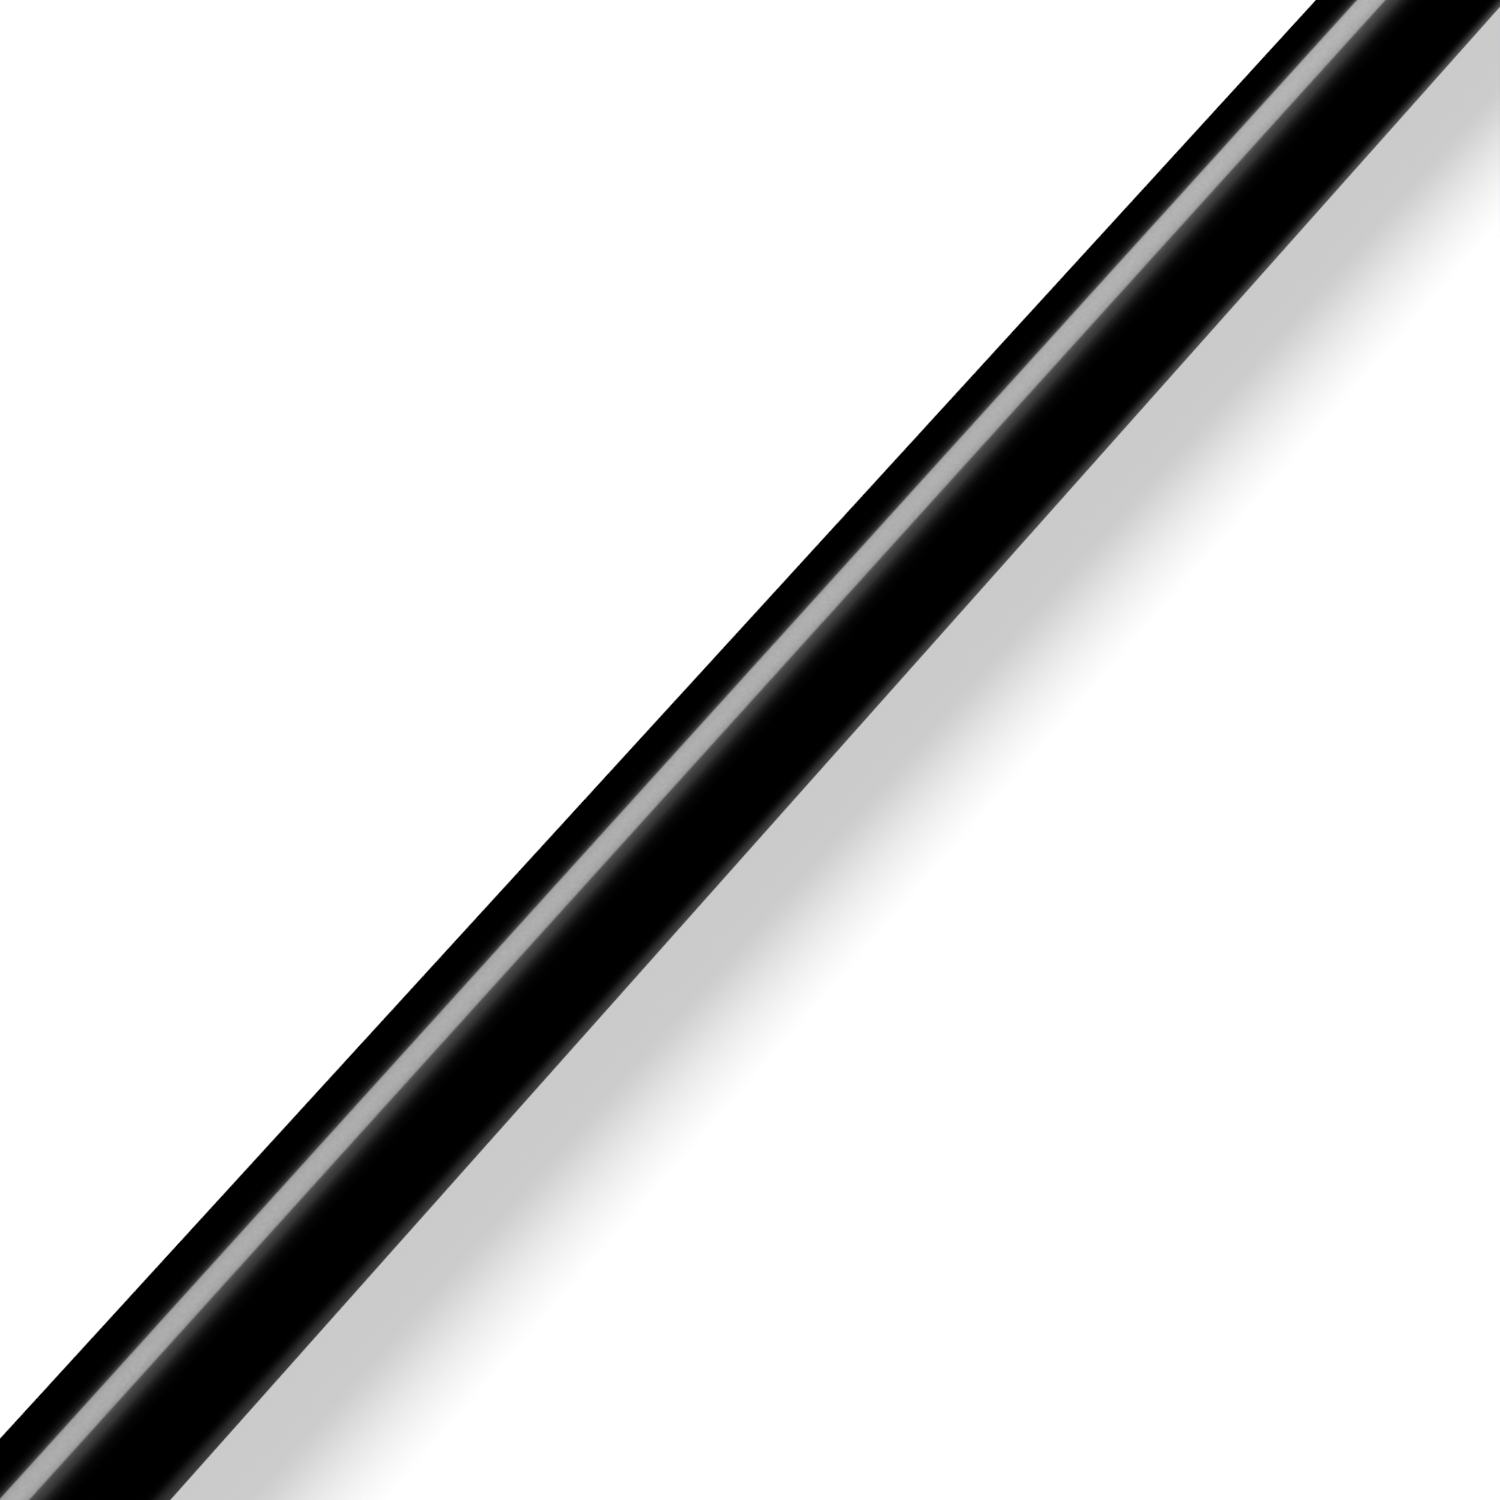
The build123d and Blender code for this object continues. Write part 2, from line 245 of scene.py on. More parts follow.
class Finish(Graph):
    """A material. Its point is (place along the cane, distance to the left, height over the axis)."""

    def __init__(self, name):
        super().__init__(bpy.data.materials.new(name))
        metres = self.node("TexCoord", {}, {}, "Object")
        origin = (-1000 * cap_face, 0, -1000 * axis_height)
        scaling = {0: metres, 1: (1000, 1000, 1000), 2: origin}
        self.point = self.node("VectorMath", {"operation": "MULTIPLY_ADD"}, scaling)

    def surface(self, values):
        """Sets or links the sockets of the material's own shader."""
        self.feed(self.tree.nodes["Principled BSDF"], values)

    def wear(self):
        """How much a piece is rubbed, from its outline."""
        return self.node("Attribute", {"attribute_name": "wear"}, {}, "Fac")

    def noise(self, fineness, detail=2.0, stretch=(1, 1, 1)):
        """Cloudy noise around 0.5, with about this many lumps to a millimetre in each direction."""
        scale = tuple(fineness * part for part in stretch)
        where = self.node("VectorMath", {"operation": "MULTIPLY"}, {0: self.point, 1: scale})
        return self.node("TexNoise", {}, {"Vector": where, "Scale": 1, "Detail": detail})

    def turning_marks(self, fineness):
        """Rings of noise round the cane's axis, on barrels and end faces, as a cutting tool leaves."""
        place, left, above = self.point.parts()
        along = (place + (left * left + above * above) ** 0.5) * fineness
        return self.node("TexNoise", {"noise_dimensions": "1D"}, {"W": along, "Scale": 1, "Detail": 3})

    def colour(self, share, first, second):
        """A colour that goes from first to second as the share goes from 0 to 1."""
        first = first if isinstance(first, Value) else (*first, 1)
        return self.node("Mix", {"data_type": "RGBA"}, {0: share, 6: first, 7: (*second, 1)}, 2)

    def bump(self, height, depth):
        """A Normal for a relief this many millimetres deep."""
        return self.node("Bump", {}, {"Height": height, "Distance": depth / 1000})


tube_edge = 0.12
seat_scuff = 0.55  # wear where a tube wedges in the next one's mouth
near_mouth = 1
seat_start = 1
seat_end = 46
scuff_end = 58  # where the scuffing has faded out
raw_edge = 0.3  # raw composite round the bore
raw_end = 0.05  # and at the cut ends
lacquer_black = (0.0001, 0.0001, 0.0001)
scratched_grey = (0.035, 0.035, 0.036)
resin_black = (0.006, 0.006, 0.007)
fibre_grey = (0.04, 0.04, 0.043)

lacquer = Finish("gloss_black_lacquer")
scratches = lacquer.noise(3, 3, (0.02, 1, 1)).fade(0.56, 0.7) * lacquer.wear()
polish = lacquer.noise(3.2, 3)
lacquer.surface({
    "Base Color": lacquer.colour(scratches, lacquer_black, scratched_grey),
    "Roughness": 0.3 + scratches * 0.3,
    "Specular IOR Level": 0.0,
    "Coat Weight": 1 - polish * 0.22 - scratches * 0.5,
    "Coat Roughness": 0.012,
    "Coat IOR": 1.5,
})

composite = Finish("raw_composite")
fibres = composite.noise(6, 3, (0.015, 1, 1))
patches = composite.noise(0.4)
composite.surface({
    "Base Color": composite.colour(fibres * 0.7 + patches * 0.3, resin_black, fibre_grey),
    "Roughness": 0.4 + fibres * 0.3,
    "Normal": composite.bump(fibres, 0.03),
})

for node in ("tube_1", "tube_2", "tube_3", "tube_4", "tube_5"):
    butt, mouth = span(node)
    butt_radius = reach(node, butt, max)
    mouth_radius = reach(node, mouth, max)
    butt_bore = reach(node, butt, min)
    mouth_bore = reach(node, mouth, min)
    taper = (mouth_radius - butt_radius) / (mouth - butt)
    tube_outline = soften([
        (butt, butt_bore, tube_edge),
        (butt, butt_radius, tube_edge),
        (mouth, mouth_radius, tube_edge),
        (mouth, mouth_bore, tube_edge),
    ])
    outside = next(index for index, point in enumerate(tube_outline) if point[0] > mouth - near_mouth)
    seat = []
    for from_butt, wear in ((seat_start, seat_scuff), (seat_end, seat_scuff), (scuff_end, 0)):
        if node != "tube_1":
            seat.append((butt + from_butt, butt_radius + from_butt * taper, wear))
    tube = turned("lacquered_" + node, tube_outline[:outside] + seat + tube_outline[outside:])
    tube.data.materials.append(lacquer.owner)
    tube.data.materials.append(composite.owner)
    for face in tube.data.polygons:
        across, upward = face.center.y, face.center.z - axis_height
        distance = 1000 * math.hypot(across, upward)
        from_end = min(abs(1000 * (face.center.x - cap_face) - end) for end in (butt, mouth))
        faces_end = abs(face.normal.x) > 0.9
        faces_bore = face.normal.y * across + face.normal.z * upward < 0
        if distance < mouth_bore + raw_edge or from_end < raw_end or faces_end or faces_bore:
            face.material_index = 1
    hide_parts(node)
    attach(tube, frame["nodes"][node]["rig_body"])

# ---------------------------------------------------------------------------------------------------
# Mouth rings. Each is turned from aluminium bar, with three grooves, and anodised black. It is glued
# round a tube's mouth so that the tube can't split, and its lip covers the tube's cut end. The
# anodising has rubbed through to bright metal along its edges.
# ---------------------------------------------------------------------------------------------------
ring_chamfer = 0.3
ring_groove_places = (2.1, 3.9, 5.7)  # from the ring's start
ring_groove_mouth = 0.8  # width at its mouth, and on its floor
ring_groove_floor = 0.32
ring_groove_sunk = 0.28
anodised_black = (0.016, 0.016, 0.018)
aluminium = (0.56, 0.57, 0.58)

anodising = Finish("black_anodised_aluminium")
ring_marks = anodising.turning_marks(14)
bare_metal = (anodising.wear() + anodising.noise(1.2, 4) * 0.9).fade(1.15, 1.45)
anodising.surface({
    "Base Color": anodising.colour(bare_metal, anodised_black, aluminium),
    "Metallic": 0.35 + bare_metal * 0.65,
    "Roughness": 0.26 + ring_marks * 0.16,
    "Normal": anodising.bump(ring_marks, 0.006),
})

for node in ("mouth_ring_1", "mouth_ring_2", "mouth_ring_3", "mouth_ring_4"):
    start, end = span(node)
    bore = reach(node, start, min)
    radius = reach(node, start + ring_chamfer, max)
    lip_bore = reach(node, end, min)
    tube_mouth = span(node.replace("mouth_ring", "tube"))[1]
    ring_corners = [
        (tube_mouth, bore, 0),
        (start, bore, 0.1),
        (start, radius - ring_chamfer, 0.08),
        (start + ring_chamfer, radius, 0.08),
    ]
    for from_start in ring_groove_places:
        middle = start + from_start
        ring_corners += [
            (middle - ring_groove_mouth / 2, radius, 0.1),
            (middle - ring_groove_floor / 2, radius - ring_groove_sunk, 0.1),
            (middle + ring_groove_floor / 2, radius - ring_groove_sunk, 0.1),
            (middle + ring_groove_mouth / 2, radius, 0.1),
        ]
    ring_corners += [
        (end - ring_chamfer, radius, 0.12),
        (end, radius - ring_chamfer, 0.12),
        (end, lip_bore, 0.25),
        (tube_mouth, lip_bore, 0),
    ]
    ring = turned("turned_" + node, soften(ring_corners))
    ring.data.materials.append(anodising.owner)
    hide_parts(node)
    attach(ring, frame["nodes"][node]["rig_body"])

# ---------------------------------------------------------------------------------------------------
# Bumper. A disc punched from soft black rubber sheet and pushed into the widest tube against the cap's
# spigot. The narrower tubes stop on it when the cane is collapsed, which has dusted its face.
# ---------------------------------------------------------------------------------------------------
def dress(node, finish):
    """Gives a finish to a piece that keeps the shape it has in the frame."""
    for slot in frame["nodes"][node].material_slots:
        slot.material = finish.owner


bumper_black = (0.012, 0.012, 0.012)
bumper_dust = (0.05, 0.048, 0.045)

sheet_rubber = Finish("bumper_rubber")
rubber_pores = sheet_rubber.noise(5, 3)
sheet_rubber.surface({
    "Base Color": sheet_rubber.colour(sheet_rubber.noise(0.8, 4), bumper_black, bumper_dust),
    "Roughness": 0.75 + rubber_pores * 0.2,
    "Normal": sheet_rubber.bump(rubber_pores, 0.08),
})
dress("bumper", sheet_rubber)

# ---------------------------------------------------------------------------------------------------
# Grip. A sleeve of black rubber, moulded with one flat side for the forefinger and slid over the
# widest tube with glue. Crossed grooves make its diamonds, the flat has low steps across it, and ring
# grooves close both ends. Palms have polished the diamonds, and dust stays in the grooves.
# ---------------------------------------------------------------------------------------------------
grip_start, grip_end = span("grip")
grip_radius = reach("grip", grip_start, max)
nose_radius = reach("grip", grip_end - 2, max)
grip_back_bore = reach("grip", grip_start, min)
grip_nose_bore = reach("grip", grip_end, min)
nose_length = 18
waist_length = 85
waist_end = grip_end - nose_length
waist_start = waist_end - waist_length
waist_blend = 10.3
flat_edge = 0.25
row_spacing = 0.6
bore_rim = 0.5  # no relief this near to the bore
# The diamonds, and the steps across the flat, fade in or out from each pair's first value to its
# second: places from the grip's start, or angles from the middle of the flat
diamonds_in = 8.5, 11.5
diamonds_out = 183, 187
diamonds_beside = 0.44, 0.6
diamonds_around = 12
diamond_length = 9.0
diamond_groove_width = 0.19  # as a share of the way from one groove to the next
diamond_groove_depth = 0.5
steps_in = 14, 18
steps_out = 96, 104
steps_beside = 0.26, 0.4
step_spacing = 3.6
step_depth = 0.4
ring_grooves = (3.6, 6.0, 191.5, 195.3, 199.1)  # from the grip's start
ring_groove_width = 1.7
ring_groove_depth = 0.55
grip_black = (0.010, 0.010, 0.0105)
polished_black = (0.006, 0.006, 0.0065)
grip_dust = (0.048, 0.045, 0.041)


def groove(from_middle, width):
    """The depth of a rounded groove as a share: 1 at its middle, and 0 outside its width."""
    return max(0, 1 - (2 * from_middle / width) ** 2) ** 2


def ease(value, start, end):
    """0 where the value is at start or short of it, 1 at end or past it, and smooth between."""
    share = min(1, max(0, (value - start) / (end - start)))
    return share * share * (3 - 2 * share)


def flattened(place, distance, angle):
    """Brings a point of the grip or the cap inside their flat, with a rounded edge along the flat."""
    down = -math.cos(angle)
    least_down = 0.5  # the flat ends well before this
    if down < least_down:
        return distance
    flat = 1000 * axis_height / down
    return min(flat, distance) - flat_edge * math.log(1 + math.exp(-abs(flat - distance) / flat_edge))


def moulded(place, distance, angle):
    """Presses the grip's relief into its outside, and leaves its bore round."""
    if distance < grip_back_bore + bore_rim:
        return distance
    here = place - grip_start
    from_flat = abs(angle - math.pi)
    depth = ring_groove_depth * max(groove(here - middle, ring_groove_width) for middle in ring_grooves)
    diamonds = ease(here, *diamonds_in) * (1 - ease(here, *diamonds_out))
    diamonds *= ease(from_flat, *diamonds_beside)
    for hand in (1, -1):
        turns = angle / math.tau * diamonds_around + hand * here / diamond_length
        pressed = groove(turns % 1 - 0.5, diamond_groove_width) * diamonds
        depth = max(depth, pressed * diamond_groove_depth)
    wave = 0.5 - 0.5 * math.cos(math.tau * here / step_spacing)
    steps = ease(here, *steps_in) * (1 - ease(here, *steps_out)) * (1 - ease(from_flat, *steps_beside))
    depth = max(depth, wave**2 * steps * step_depth)
    return flattened(place, distance, angle) - depth


grip_corners = soften([
    (grip_start, grip_back_bore, 0.1),
    (grip_start, grip_radius, 0.4),
    (waist_start, grip_radius, waist_blend),
    (waist_end, nose_radius, waist_blend),
    (grip_end, nose_radius, 2.0),
    (grip_end, grip_nose_bore, 0.2),
])
grip_outline = []
for point, following in zip(grip_corners, grip_corners[1:] + grip_corners[:1]):
    rows = 1
    if min(point[1], following[1]) > grip_back_bore + 2 * bore_rim:
        rows = max(1, math.ceil((following[0] - point[0]) / row_spacing))
    for row in range(rows):
        grip_outline.append((*Vector(point[:2]).lerp(Vector(following[:2]), row / rows), 0))
grip = turned("moulded_grip", grip_outline, sides=216, shape=moulded, crease=75)

rubber = Finish("grip_rubber")
place, left, above = rubber.point.parts()
here = place - grip_start
around = left.angle_from(above)
beside_flat = (math.pi - around.size()).fade(*diamonds_beside)
in_diamonds = here.fade(*diamonds_in) * (1 - here.fade(*diamonds_out)) * beside_flat
pressed = 0.0
for hand in (1, -1):
    turns = around * (diamonds_around / math.tau) + here * (hand / diamond_length)
    from_middle = (turns.fraction() - 0.5).size()
    pressed = (in_diamonds * (1 - from_middle.fade(0.03, 0.1))).larger(pressed)
for middle in ring_grooves:
    pressed = (1 - (here - middle).size().fade(0.2, 0.8)).larger(pressed)
skin = rubber.noise(7, 4)
dust = pressed * rubber.noise(0.35, 4).fade(0.35, 0.75)
handled = rubber.noise(0.06, 2).fade(0.35, 0.65) * (1 - pressed)
dusty = rubber.colour(dust, grip_black, grip_dust)
rubber.surface({
    "Base Color": rubber.colour(handled * 0.5, dusty, polished_black),
    "Roughness": 0.56 + skin * 0.2 + dust * 0.15 - handled * 0.14,
    "Specular IOR Level": 0.4,
    "Normal": rubber.bump(skin, 0.035),
})
grip.data.materials.append(rubber.owner)
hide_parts("grip")
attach(grip, frame["nodes"]["grip"]["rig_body"])

# ---------------------------------------------------------------------------------------------------
# End cap. Moulded in black plastic and pressed into the top of the widest tube. Its face is dished
# round a rimmed hole for a wrist cord, and its spigot is hollow for the cord's knot. It shares the
# grip's flat, and its rim is worn smooth where the cane is stood on it.
# ---------------------------------------------------------------------------------------------------
cap_start, spigot_end = span("end_cap")
cord_hole = reach("end_cap", cap_start, min)
glue_gap = 0.02
spigot_back = reach("tube_1", grip_start, min) - glue_gap
spigot_front = reach("end_cap", spigot_end, max)
knot_hollow = reach("end_cap", spigot_end, min)
dish_depth = 0.5
dish_slope = 0.4
dish_from, dish_to = 4.7, 9.7
cap_rounding = 3.0
cap_black = (0.011, 0.011, 0.012)
cap_rubbed = (0.032, 0.031, 0.030)

cap_outline = soften([
    (cap_start, cord_hole, 0.9),
    (cap_start, dish_from, 0.3),
    (cap_start + dish_depth, dish_from + dish_slope, 0.25),
    (cap_start + dish_depth, dish_to - dish_slope, 0.25),
    (cap_start, dish_to, 0.3),
    (cap_start, grip_radius, cap_rounding),
    (grip_start, grip_radius, 0.35),
    (grip_start, spigot_back, 0.1),
    (spigot_end, spigot_front, 0.7),
    (spigot_end, knot_hollow, 0.4),
    (grip_start, knot_hollow, 0.5),
    (grip_start, cord_hole, 0.5),
])
cap = turned("moulded_end_cap", cap_outline, sides=160, shape=flattened)

cap_plastic = Finish("cap_plastic")
spark_grain = cap_plastic.noise(9, 3)
rubbed = (cap_plastic.wear() + cap_plastic.noise(0.5, 4) * 0.8).fade(0.9, 1.4)
cap_plastic.surface({
    "Base Color": cap_plastic.colour(rubbed, cap_black, cap_rubbed),
    "Roughness": 0.42 + spark_grain * 0.16 - rubbed * 0.12,
    "Normal": cap_plastic.bump(spark_grain * (1 - rubbed * 0.75), 0.02),
})
cap.data.materials.append(cap_plastic.owner)
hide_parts("end_cap")
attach(cap, frame["nodes"]["end_cap"]["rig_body"])

# ---------------------------------------------------------------------------------------------------
# Tip sleeve. Moulded in black nylon with four ribs and a flare, and glued over the thin end of the last
# tube. Its web holds the spindle's head against the tube's end, and its boss carries the upper bearing.
# It takes the knocks near the ground, so its ribs are scuffed grey.
# ---------------------------------------------------------------------------------------------------
spindle_head = 2.5
roller_gap = 1.2
sleeve_rounding = 1.0
sleeve_start, boss_end = span("tip_sleeve")
socket_end = span("tube_5")[1]
head_end = span("spindle")[0] + spindle_head
sleeve_front = span("roller")[0] - roller_gap
sleeve_radius = reach("tip_sleeve", sleeve_start + sleeve_rounding, max)
sleeve_front_radius = 500 * (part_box("tip_sleeve")[1].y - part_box("tip_sleeve")[0].y)
boss_radius = reach("tip_sleeve", boss_end, max)
pin_bore = reach("tip_sleeve", boss_end, min)
head_bore = reach("tip_sleeve", head_end, max)
rib_count = 4
rib_pitch = 3.8
rib_height = 0.5
rib_width = 1.8
rib_slope = 0.4
first_rib = 3.0
flare_start = socket_end - 3
flare_slope = (sleeve_front_radius - sleeve_radius) / (sleeve_front - flare_start)
flare_groove = sleeve_front - 3.6
flare_groove_steps = ((-0.5, 0), (-0.2, 0.3), (0.2, 0.3), (0.5, 0))  # along it, and into it
sleeve_black = (0.012, 0.012, 0.013)
sleeve_scuffed = (0.10, 0.098, 0.092)

sleeve_corners = [
    (sleeve_start, reach("tip_sleeve", sleeve_start, min), 0.15),
    (sleeve_start, sleeve_radius, 0.8),
]
for rib in range(rib_count):
    rib_start = sleeve_start + first_rib + rib * rib_pitch
    sleeve_corners += [
        (rib_start, sleeve_radius, 0.2),
        (rib_start + rib_slope, sleeve_radius + rib_height, 0.25),
        (rib_start + rib_width - rib_slope, sleeve_radius + rib_height, 0.25),
        (rib_start + rib_width, sleeve_radius, 0.2),
    ]
sleeve_corners.append((flare_start, sleeve_radius, 0.9))
for step, sunk in flare_groove_steps:
    groove_place = flare_groove + step
    flare_radius = sleeve_radius + (groove_place - flare_start) * flare_slope
    sleeve_corners.append((groove_place, flare_radius - sunk, 0.1))
sleeve_corners += [
    (sleeve_front, sleeve_front_radius, 0.9),
    (sleeve_front, boss_radius, 0.1),
    (boss_end, boss_radius, 0.2),
    (boss_end, pin_bore, 0.2),
    (head_end, pin_bore, 0.1),
    (head_end, head_bore, 0.1),
    (socket_end, head_bore, 0.05),
    (socket_end, reach("tip_sleeve", socket_end, max), 0.05),
]
sleeve = turned("moulded_tip_sleeve", soften(sleeve_corners))

sleeve_nylon = Finish("sleeve_nylon")
mould_grain = sleeve_nylon.noise(6, 3)
scuffs = (sleeve_nylon.wear() + sleeve_nylon.noise(1.1, 5) * 1.1).fade(1.15, 1.6)
sleeve_nylon.surface({
    "Base Color": sleeve_nylon.colour(scuffs, sleeve_black, sleeve_scuffed),
    "Roughness": 0.4 + mould_grain * 0.15 + scuffs * 0.2,
    "Normal": sleeve_nylon.bump(mould_grain, 0.02),
})
sleeve.data.materials.append(sleeve_nylon.owner)
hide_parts("tip_sleeve")
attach(sleeve, frame["nodes"]["tip_sleeve"]["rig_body"])

# ---------------------------------------------------------------------------------------------------
# Spindle, spacer, washer and clip. The spindle is a headed pin turned from stainless bar, pushed
# through the sleeve from its socket. The spacer and the washer on it are cut from steel tube, and the
# clip is stamped from spring steel and snaps into the spindle's groove.
# ---------------------------------------------------------------------------------------------------
def machined(name, colour, roughness, marks):
    """A cut and turned metal, a little uneven in colour, with about this many tool marks to a
    millimetre."""
    finish = Finish(name)
    tool_marks = finish.turning_marks(marks)
    patchy = finish.noise(0.7, 3)
    darker = tuple(part * 0.72 for part in colour)
    finish.surface({
        "Base Color": finish.colour(patchy * 0.6 + tool_marks * 0.4, darker, colour),
        "Metallic": 1.0,
        "Roughness": roughness + tool_marks * 0.12,
        "Normal": finish.bump(tool_marks, 0.0015),
    })
    return finish


pin_steel = machined("pin_stainless_steel", (0.60, 0.59, 0.57), 0.22, 12)
spring_steel = machined("clip_spring_steel", (0.22, 0.22, 0.24), 0.3, 5)
dress("spindle", pin_steel)
dress("bearing_spacer", pin_steel)
dress("thrust_washer", pin_steel)
dress("retaining_clip", spring_steel)

# ---------------------------------------------------------------------------------------------------
# Ball bearings, two alike. Races and balls are of chrome steel, ground and polished, the cage is
# pressed from brass, and the shields are stamped from thin sheet and snapped into the outer race.
# The outer races are pressed into the roller.
# ---------------------------------------------------------------------------------------------------
race_steel = machined("race_chrome_steel", (0.66, 0.66, 0.67), 0.10, 20)
ball_steel = machined("ball_chrome_steel", (0.74, 0.74, 0.75), 0.03, 3)
cage_brass = machined("cage_brass", (0.72, 0.49, 0.20), 0.28, 4)
shield_steel = machined("shield_steel", (0.55, 0.55, 0.55), 0.25, 8)
for bearing in ("upper_bearing_", "lower_bearing_"):
    dress(bearing + "inner_race", race_steel)
    dress(bearing + "outer_race", race_steel)
    dress(bearing + "balls", ball_steel)
    dress(bearing + "cage", cage_brass)
    dress(bearing + "shields", shield_steel)

# ---------------------------------------------------------------------------------------------------
# Roller and plug. The roller is turned from white nylon bar, with two fine grooves round it, and rolls
# on the ground as the cane is swept. Its plug closes the lower bearing's seat and finishes the crown,
# so the two share one outline. Both are scuffed and stained where they meet the ground.
# ---------------------------------------------------------------------------------------------------
roller_start = span("roller")[0]
roller_radius = 500 * (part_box("roller")[1].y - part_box("roller")[0].y)
plug_start, crown_end = span("roller_plug")
plug_radius = reach("roller_plug", plug_start, max)
seat_bore = reach("roller", roller_start, min)
web_start, web_end = span("bearing_spacer")
web_bore = reach("roller", web_start, min)
top_rounding = 5.0
foot_rounding = 9.0
seam_rounding = 0.2
roller_grooves = (10.2, 13.4)  # from the roller's start
roller_groove_steps = ((-0.55, 0), (-0.15, 0.35), (0.15, 0.35), (0.55, 0))  # along it, and into it
plug_front = 4  # thickness of the plug under its crown
centre_mark_radius = 1.1  # the lathe centre's mark in the crown
centre_mark_depth = 0.3
tread_in = 11, 5  # how far before the crown's end its dirt starts, and is full
tread_out = 1.2, 0.2  # and where it fades out again
fresh_nylon = (0.78, 0.77, 0.73)
yellowed_nylon = (0.70, 0.68, 0.63)
ground_dirt = (0.16, 0.145, 0.125)

crown_corners = [(roller_start, 0, 0), (roller_start, roller_radius, top_rounding)]
for groove_place in roller_grooves:
    for step, sunk in roller_groove_steps:
        crown_corners.append((roller_start + groove_place + step, roller_radius - sunk, 0.1))
crown_corners += [(crown_end, roller_radius, foot_rounding), (crown_end, 0, 0)]
crown = soften(crown_corners)


def crown_place(distance):
    """The place of the crown at a distance from the axis, on its foot rounding."""
    inward = distance - (roller_radius - foot_rounding)
    return crown_end - foot_rounding + math.sqrt(foot_rounding**2 - inward**2)


seam_room = 1.5 * seam_rounding
roller_outside = [point for point in crown if point[1] > seat_bore + seam_room]
roller_bores = soften([
    (*roller_outside[-1][:2], 0),
    (crown_place(seat_bore), seat_bore, seam_rounding),
    (web_end, seat_bore, 0.1),
    (web_end, web_bore, 0.3),
    (web_start, web_bore, 0.3),
    (web_start, seat_bore, 0.1),
    (roller_start, seat_bore, 0.2),
    (*roller_outside[0][:2], 0),
])
roller = turned("turned_roller", roller_outside + roller_bores[1:-1])

plug_bore = reach("roller_plug", plug_start, min)
plug_floor = crown_end - plug_front
plug_crown = [point for point in crown if 2 * centre_mark_radius < point[1] < plug_radius - seam_room]
plug_middle = soften([
    (crown_end - centre_mark_depth, 0, 0),
    (crown_end - centre_mark_depth, centre_mark_radius / 2, 0.1),
    (crown_end, centre_mark_radius, 0.2),
    (*plug_crown[-1][:2], 0),
])
plug_sides = soften([
    (*plug_crown[0][:2], 0),
    (crown_place(plug_radius), plug_radius, seam_rounding),
    (plug_start, plug_radius, 0.3),
    (plug_start, plug_bore, 0.2),
    (plug_floor, plug_bore, 0.3),
    (plug_floor, 0, 0),
])
plug = turned("turned_roller_plug", plug_middle[:-1] + plug_crown[::-1] + plug_sides[1:])

nylon = Finish("white_nylon")
place = nylon.point.parts()[0]
reaches_ground = place.fade(*(crown_end - before for before in tread_in))
tread = reaches_ground * (1 - place.fade(*(crown_end - before for before in tread_out)))
cut_marks = nylon.turning_marks(3)
grazes = nylon.turning_marks(9).fade(0.45, 0.7) * nylon.noise(0.5, 4).fade(0.35, 0.65)
stains = nylon.noise(0.25, 5).fade(0.42, 0.75)
dirt = tread * (grazes * 0.55 + stains * 0.45) + stains * 0.10
creamy = nylon.colour(nylon.noise(0.08, 2), fresh_nylon, yellowed_nylon)
nylon.surface({
    "Base Color": nylon.colour(dirt, creamy, ground_dirt),
    "Roughness": 0.32 + cut_marks * 0.12 + dirt * 0.35,
    "Normal": nylon.bump(cut_marks * 0.5 + grazes * tread, 0.03),
})
for piece, node in ((roller, "roller"), (plug, "roller_plug")):
    piece.data.materials.append(nylon.owner)
    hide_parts(node)
    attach(piece, frame["nodes"][node]["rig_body"])

# ---------------------------------------------------------------------------------------------------
# Seal. A black rubber ring pressed into the roller's top. Its thin lip runs just clear of the sleeve's
# boss, and keeps grit out of the upper bearing. Grit has greyed the recess in its face.
# ---------------------------------------------------------------------------------------------------
seal_start, seal_end = span("roller_seal")
seal_outer = reach("roller_seal", seal_start, max)
seal_inner = reach("roller_seal", seal_start, min)
seal_black = (0.012, 0.012, 0.012)
grit_grey = (0.07, 0.066, 0.06)

seal = turned("moulded_roller_seal", soften([
    (seal_start, seal_outer, 0.12),
    (seal_end, seal_outer, 0.12),
    (seal_end, seal_inner + 1.3, 0.12),
    (seal_end - 0.8, seal_inner + 0.9, 0.2),
    (seal_end - 0.9, seal_inner, 0.15),
    (seal_start + 0.2, seal_inner, 0.15),
    (seal_start + 0.1, seal_inner + 0.5, 0.15),
    (seal_start + 0.6, seal_inner + 0.9, 0.15),
    (seal_start + 0.6, seal_outer - 0.6, 0.15),
    (seal_start, seal_outer - 0.3, 0.1),
]))
seal_rubber = Finish("seal_rubber")
seal_skin = seal_rubber.noise(8, 3)
grit = seal_rubber.noise(2, 5).fade(0.45, 0.75)
seal_rubber.surface({
    "Base Color": seal_rubber.colour(grit, seal_black, grit_grey),
    "Roughness": 0.5 + seal_skin * 0.15 + grit * 0.2,
    "Normal": seal_rubber.bump(seal_skin, 0.02),
})
seal.data.materials.append(seal_rubber.owner)
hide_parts("roller_seal")
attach(seal, frame["nodes"]["roller_seal"]["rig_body"])

# ---------------------------------------------------------------------------------------------------
# Floor. A sheet of matt white board, lit from below a little, as a light table is, so that shadows on
# it stay pale. It isn't seen in reflections.
# ---------------------------------------------------------------------------------------------------
floor_reach = 4.0  # in metres, as is all that follows
floor_drop = 0.00005
board_white = (0.85, 0.85, 0.85)
board_fibre = (0.852, 0.852, 0.852)

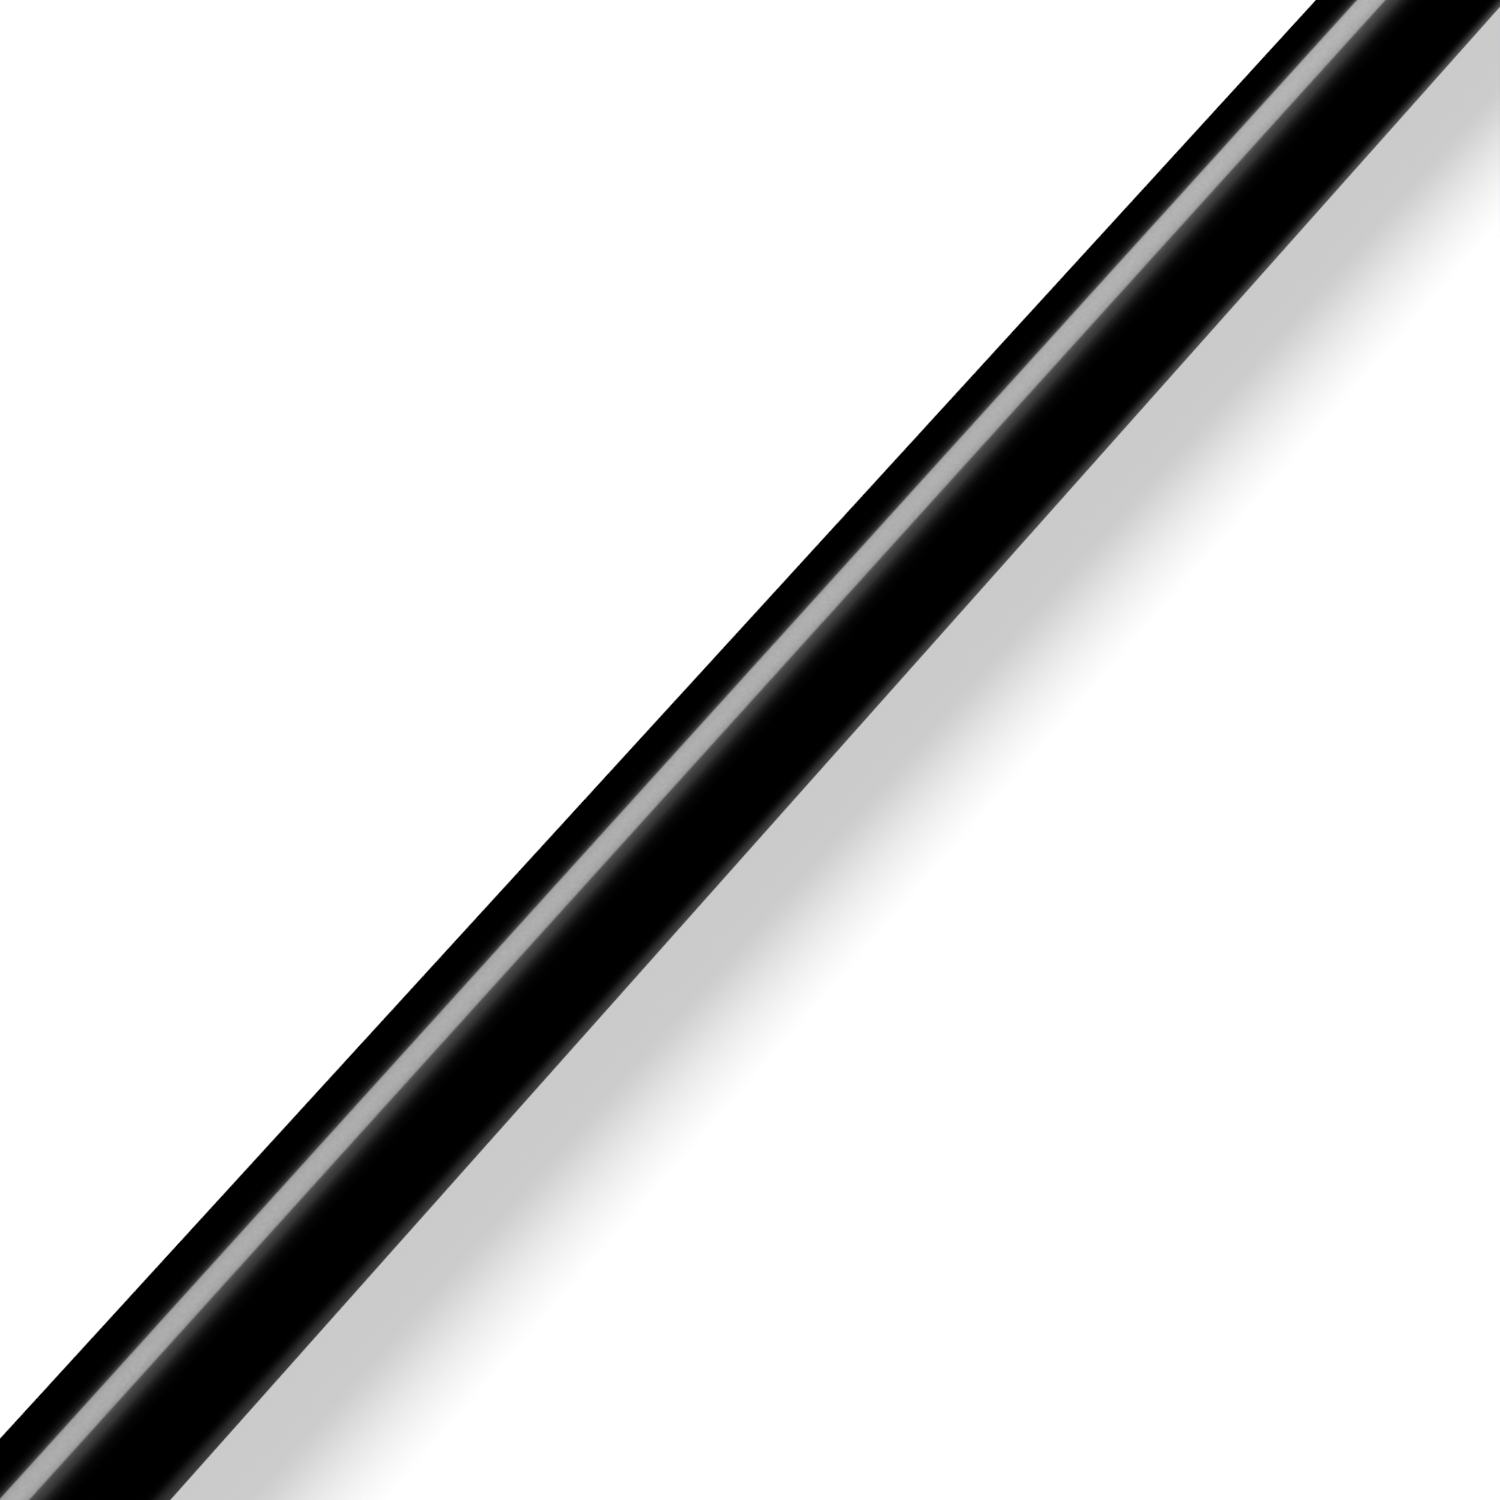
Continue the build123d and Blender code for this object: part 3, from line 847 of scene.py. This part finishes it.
floor_mesh = bpy.data.meshes.new("floor")
floor_corners = [
    (along * floor_reach, aside * floor_reach, -floor_drop)
    for along, aside in ((-1, -1), (1, -1), (1, 1), (-1, 1))
]
floor_mesh.from_pydata(floor_corners, [], [(0, 1, 2, 3)])
floor = bpy.data.objects.new("floor", floor_mesh)
bpy.context.scene.collection.objects.link(floor)
floor.visible_glossy = False

board = Finish("white_board")
board.surface({
    "Base Color": board.colour(board.noise(0.5), board_white, board_fibre),
    "Specular IOR Level": 0.0,
    "Roughness": 1.0,
    "Emission Color": (1, 1, 1, 1),
    "Emission Strength": 0.53,
})
floor_mesh.materials.append(board.owner)

# ---------------------------------------------------------------------------------------------------
# Lights. One large soft key light to the left of the cane, and a white room in which a long strip
# light over the cane's left side shows in its gloss. The strip swings outwards towards the tip, and
# looks wider there because it hangs nearer. It is dimmer at both ends.
# ---------------------------------------------------------------------------------------------------
key_height = math.radians(55)
key = bpy.data.objects.new("key_light", bpy.data.lights.new("key_light", "SUN"))
bpy.context.scene.collection.objects.link(key)
key.data.energy = 2.3
key.data.angle = math.radians(33)
key.rotation_euler = (key_height - math.pi / 2, 0, 0)
key.visible_glossy = False

room_light = 0.12
strip_swing = 0.25  # radians outwards for each unit of the way towards the tip
strip_pivot = 0.34
strip_middle = math.radians(48)
strip_widening = 0.4
strip_ends = 0.2, 0.5  # how far from the pivot the strip starts to dim, and is dimmest
end_dimming = 0.75
strip_brightness = 11.6
# How bright the room is, on the strip's own scale, by the angle in degrees from straight up towards
# the cane's left
from_floor = [(-180, 0.09), (-160, 0.14), (-148, 0.17), (-136, 0.17), (-127, 0.10), (-116, 0.027)]
dark_side = [(-104, 0), (-14, 0)]
glow_over_strip = [
    (-5.7, 0.03), (0, 0.06), (5.7, 0.15), (11.5, 0.38), (17, 0.9), (23, 1.32), (29.3, 2.0),
]
strip = [(31.3, 8.6), (35, 9.6), (41, 10.5), (47, 10.7), (53, 10.5), (60, 9.7), (64.3, 8.6)]
glow_under_strip = [(65.4, 1.2), (72, 0.23), (80, 0.06), (90, 0), (180, 0)]
room_bands = from_floor + dark_side + glow_over_strip + strip + glow_under_strip
world = bpy.data.worlds.new("room")
bpy.context.scene.world = world
world.cycles.sampling_method = "NONE"
room = Graph(world)
towards_tip, left, above = room.node("TexCoord", {}, {}, "Generated").parts()
past_pivot = towards_tip - strip_pivot
from_middle = left.angle_from(above) - strip_middle - past_pivot * strip_swing
bearing = from_middle * (1 - past_pivot * strip_widening) + strip_middle
brightest = max(level for degrees, level in room_bands)
stops = [((degrees + 180) / 360, level / brightest) for degrees, level in room_bands]
bands = room.node("ValToRGB", {"stops": stops}, {0: bearing * (1 / math.tau) + 0.5}) * strip_brightness
seen = room.node("LightPath", {}, {}, "Is Camera Ray")
mirrored = room.node("LightPath", {}, {}, "Is Glossy Ray")
dimming = past_pivot.size().fade(*strip_ends) * end_dimming
brightness = seen + mirrored * bands * (1 - dimming) + (1 - seen) * (1 - mirrored) * room_light
room.feed(room.tree.nodes["Background"], {"Color": (1, 1, 1, 1), "Strength": brightness})

# ---------------------------------------------------------------------------------------------------
# Camera. It looks down on the middle tube from close by and leans towards the tip, so the tube runs
# out of view at both ends, and looks a little narrower at the far one.
# ---------------------------------------------------------------------------------------------------
view_distance = 0.460
view_lean = math.radians(20)
view_turn = math.radians(47.976)  # from the view's horizontal to the cane
before_middle = 0.006
right_of_axis = 0.00095

bare_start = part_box("mouth_ring_2")[1].x
bare_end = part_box("mouth_ring_3")[0].x
aim = Vector(((bare_start + bare_end) / 2 - before_middle, -right_of_axis, axis_height))
backward = Vector((-math.sin(view_lean), 0, math.cos(view_lean)))
ahead = Vector((math.cos(view_lean), 0, math.sin(view_lean)))
aside = backward.cross(ahead)
view_right = ahead * math.cos(view_turn) - aside * math.sin(view_turn)
view_up = ahead * math.sin(view_turn) + aside * math.cos(view_turn)
camera = bpy.data.objects.new("camera", bpy.data.cameras.new("camera"))
bpy.context.scene.collection.objects.link(camera)
camera.data.lens = 133.3
camera.data.sensor_width = 36
camera.data.clip_start = 0.01
turn = Matrix((view_right, view_up, backward)).transposed().to_4x4()
camera.matrix_world = Matrix.Translation(aim + backward * view_distance) @ turn
bpy.context.scene.camera = camera
bpy.context.scene.view_settings.view_transform = "Standard"
